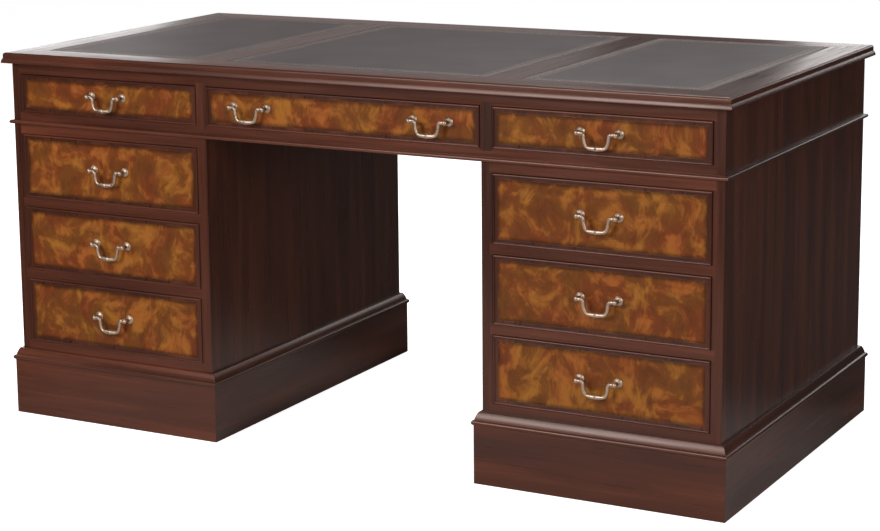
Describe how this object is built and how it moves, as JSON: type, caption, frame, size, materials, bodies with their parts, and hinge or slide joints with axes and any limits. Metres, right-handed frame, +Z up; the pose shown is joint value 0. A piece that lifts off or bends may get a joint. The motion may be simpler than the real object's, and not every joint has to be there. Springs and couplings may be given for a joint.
{
  "type": "partners desk",
  "caption": "Pedestal partners desk with leather-topped writing surface, sliding drawers with swinging bail pulls, and cupboards behind.",
  "frame": {"origin": "on the floor, at the middle of the desk's footprint", "axes": "+X to the sitter's right seen from the front, +Y to the back, +Z up; the sitter's side faces -Y"},
  "size_m": [1.6, 0.837, 0.77],
  "materials": {
    "mahogany": "french polished mahogany, satin",
    "burr_walnut": "burr walnut veneer on the fronts, satin lacquer",
    "lining_wood": "plain sawn and planed",
    "leather": "dark hide, gold tooled edge",
    "brass": "antiqued and lacquered"
  },
  "bodies": {
    "desk": {"desk_top": "mahogany", "leather_left": "leather", "leather_centre": "leather", "leather_right": "leather", "frieze_ends": "mahogany", "frieze_rails_and_dividers": "mahogany", "frieze_runners": "lining_wood", "frieze_bead": "mahogany", "left_pedestal_sides": "mahogany", "left_pedestal_frames": "mahogany", "right_pedestal_sides": "mahogany", "right_pedestal_frames": "mahogany", "left_plinth": "mahogany", "right_plinth": "mahogany", "plinth_mouldings": "mahogany", "cupboard_hinge_leaves": "brass"},
    "front_frieze_left_drawer_body": {"front_frieze_left_drawer": "burr_walnut", "front_frieze_left_pull_posts": "brass"},
    "front_frieze_left_bail_body": {"front_frieze_left_bail": "brass"},
    "front_frieze_right_drawer_body": {"front_frieze_right_drawer": "burr_walnut", "front_frieze_right_pull_posts": "brass"},
    "front_frieze_right_bail_body": {"front_frieze_right_bail": "brass"},
    "front_frieze_centre_drawer_body": {"front_frieze_centre_drawer": "burr_walnut", "front_frieze_centre_pull_posts": "brass"},
    "front_frieze_centre_left_bail_body": {"front_frieze_centre_left_bail": "brass"},
    "front_frieze_centre_right_bail_body": {"front_frieze_centre_right_bail": "brass"},
    "rear_frieze_left_drawer_body": {"rear_frieze_left_drawer": "burr_walnut", "rear_frieze_left_pull_posts": "brass"},
    "rear_frieze_left_bail_body": {"rear_frieze_left_bail": "brass"},
    "rear_frieze_right_drawer_body": {"rear_frieze_right_drawer": "burr_walnut", "rear_frieze_right_pull_posts": "brass"},
    "rear_frieze_right_bail_body": {"rear_frieze_right_bail": "brass"},
    "rear_frieze_centre_drawer_body": {"rear_frieze_centre_drawer": "burr_walnut", "rear_frieze_centre_pull_posts": "brass"},
    "rear_frieze_centre_left_bail_body": {"rear_frieze_centre_left_bail": "brass"},
    "rear_frieze_centre_right_bail_body": {"rear_frieze_centre_right_bail": "brass"},
    "left_bottom_drawer_body": {"left_bottom_drawer": "burr_walnut", "left_bottom_pull_posts": "brass"},
    "left_bottom_bail_body": {"left_bottom_bail": "brass"},
    "left_middle_drawer_body": {"left_middle_drawer": "burr_walnut", "left_middle_pull_posts": "brass"},
    "left_middle_bail_body": {"left_middle_bail": "brass"},
    "left_top_drawer_body": {"left_top_drawer": "burr_walnut", "left_top_pull_posts": "brass"},
    "left_top_bail_body": {"left_top_bail": "brass"},
    "right_bottom_drawer_body": {"right_bottom_drawer": "burr_walnut", "right_bottom_pull_posts": "brass"},
    "right_bottom_bail_body": {"right_bottom_bail": "brass"},
    "right_middle_drawer_body": {"right_middle_drawer": "burr_walnut", "right_middle_pull_posts": "brass"},
    "right_middle_bail_body": {"right_middle_bail": "brass"},
    "right_top_drawer_body": {"right_top_drawer": "burr_walnut", "right_top_pull_posts": "brass"},
    "right_top_bail_body": {"right_top_bail": "brass"},
    "left_door_body": {"left_door": "burr_walnut", "left_door_hinge_leaves": "brass", "left_door_knob": "brass"},
    "right_door_body": {"right_door": "burr_walnut", "right_door_hinge_leaves": "brass", "right_door_knob": "brass"}
  },
  "joints": [
    {"name": "front_frieze_left_slide", "type": "slide", "parent": "desk", "child": "front_frieze_left_drawer_body", "axis": [0, -1, 0], "range_m": [0, 0.3]},
    {"name": "front_frieze_left_bail_swing", "type": "hinge", "parent": "front_frieze_left_drawer_body", "child": "front_frieze_left_bail_body", "pos_m": [-0.544, -0.41, 0.69015], "axis": [-1, 0, 0], "range_deg": [-24, 204]},
    {"name": "front_frieze_right_slide", "type": "slide", "parent": "desk", "child": "front_frieze_right_drawer_body", "axis": [0, -1, 0], "range_m": [0, 0.3]},
    {"name": "front_frieze_right_bail_swing", "type": "hinge", "parent": "front_frieze_right_drawer_body", "child": "front_frieze_right_bail_body", "pos_m": [0.544, -0.41, 0.69015], "axis": [-1, 0, 0], "range_deg": [-24, 204]},
    {"name": "front_frieze_centre_slide", "type": "slide", "parent": "desk", "child": "front_frieze_centre_drawer_body", "axis": [0, -1, 0], "range_m": [0, 0.3]},
    {"name": "front_frieze_centre_left_bail_swing", "type": "hinge", "parent": "front_frieze_centre_drawer_body", "child": "front_frieze_centre_left_bail_body", "pos_m": [-0.2, -0.41, 0.69015], "axis": [-1, 0, 0], "range_deg": [-24, 204]},
    {"name": "front_frieze_centre_right_bail_swing", "type": "hinge", "parent": "front_frieze_centre_drawer_body", "child": "front_frieze_centre_right_bail_body", "pos_m": [0.2, -0.41, 0.69015], "axis": [-1, 0, 0], "range_deg": [-24, 204]},
    {"name": "rear_frieze_left_slide", "type": "slide", "parent": "desk", "child": "rear_frieze_left_drawer_body", "axis": [0, 1, 0], "range_m": [0, 0.3]},
    {"name": "rear_frieze_left_bail_swing", "type": "hinge", "parent": "rear_frieze_left_drawer_body", "child": "rear_frieze_left_bail_body", "pos_m": [-0.544, 0.41, 0.69015], "axis": [1, 0, 0], "range_deg": [-24, 204]},
    {"name": "rear_frieze_right_slide", "type": "slide", "parent": "desk", "child": "rear_frieze_right_drawer_body", "axis": [0, 1, 0], "range_m": [0, 0.3]},
    {"name": "rear_frieze_right_bail_swing", "type": "hinge", "parent": "rear_frieze_right_drawer_body", "child": "rear_frieze_right_bail_body", "pos_m": [0.544, 0.41, 0.69015], "axis": [1, 0, 0], "range_deg": [-24, 204]},
    {"name": "rear_frieze_centre_slide", "type": "slide", "parent": "desk", "child": "rear_frieze_centre_drawer_body", "axis": [0, 1, 0], "range_m": [0, 0.3]},
    {"name": "rear_frieze_centre_left_bail_swing", "type": "hinge", "parent": "rear_frieze_centre_drawer_body", "child": "rear_frieze_centre_left_bail_body", "pos_m": [-0.2, 0.41, 0.69015], "axis": [1, 0, 0], "range_deg": [-24, 204]},
    {"name": "rear_frieze_centre_right_bail_swing", "type": "hinge", "parent": "rear_frieze_centre_drawer_body", "child": "rear_frieze_centre_right_bail_body", "pos_m": [0.2, 0.41, 0.69015], "axis": [1, 0, 0], "range_deg": [-24, 204]},
    {"name": "left_bottom_slide", "type": "slide", "parent": "desk", "child": "left_bottom_drawer_body", "axis": [0, -1, 0], "range_m": [0, 0.3]},
    {"name": "left_bottom_bail_swing", "type": "hinge", "parent": "left_bottom_drawer_body", "child": "left_bottom_bail_body", "pos_m": [-0.544, -0.41, 0.22965], "axis": [-1, 0, 0], "range_deg": [-24, 204]},
    {"name": "left_middle_slide", "type": "slide", "parent": "desk", "child": "left_middle_drawer_body", "axis": [0, -1, 0], "range_m": [0, 0.3]},
    {"name": "left_middle_bail_swing", "type": "hinge", "parent": "left_middle_drawer_body", "child": "left_middle_bail_body", "pos_m": [-0.544, -0.41, 0.38365], "axis": [-1, 0, 0], "range_deg": [-24, 204]},
    {"name": "left_top_slide", "type": "slide", "parent": "desk", "child": "left_top_drawer_body", "axis": [0, -1, 0], "range_m": [0, 0.3]},
    {"name": "left_top_bail_swing", "type": "hinge", "parent": "left_top_drawer_body", "child": "left_top_bail_body", "pos_m": [-0.544, -0.41, 0.53765], "axis": [-1, 0, 0], "range_deg": [-24, 204]},
    {"name": "right_bottom_slide", "type": "slide", "parent": "desk", "child": "right_bottom_drawer_body", "axis": [0, -1, 0], "range_m": [0, 0.3]},
    {"name": "right_bottom_bail_swing", "type": "hinge", "parent": "right_bottom_drawer_body", "child": "right_bottom_bail_body", "pos_m": [0.544, -0.41, 0.22965], "axis": [-1, 0, 0], "range_deg": [-24, 204]},
    {"name": "right_middle_slide", "type": "slide", "parent": "desk", "child": "right_middle_drawer_body", "axis": [0, -1, 0], "range_m": [0, 0.3]},
    {"name": "right_middle_bail_swing", "type": "hinge", "parent": "right_middle_drawer_body", "child": "right_middle_bail_body", "pos_m": [0.544, -0.41, 0.38365], "axis": [-1, 0, 0], "range_deg": [-24, 204]},
    {"name": "right_top_slide", "type": "slide", "parent": "desk", "child": "right_top_drawer_body", "axis": [0, -1, 0], "range_m": [0, 0.3]},
    {"name": "right_top_bail_swing", "type": "hinge", "parent": "right_top_drawer_body", "child": "right_top_bail_body", "pos_m": [0.544, -0.41, 0.53765], "axis": [-1, 0, 0], "range_deg": [-24, 204]},
    {"name": "left_door_hinge", "type": "hinge", "parent": "desk", "child": "left_door_body", "pos_m": [-0.7605, 0.3962, 0.3795], "axis": [0, 0, 1], "range_deg": [0, 105]},
    {"name": "right_door_hinge", "type": "hinge", "parent": "desk", "child": "right_door_body", "pos_m": [0.7605, 0.3962, 0.3795], "axis": [0, 0, -1], "range_deg": [0, 105]}
  ]
}
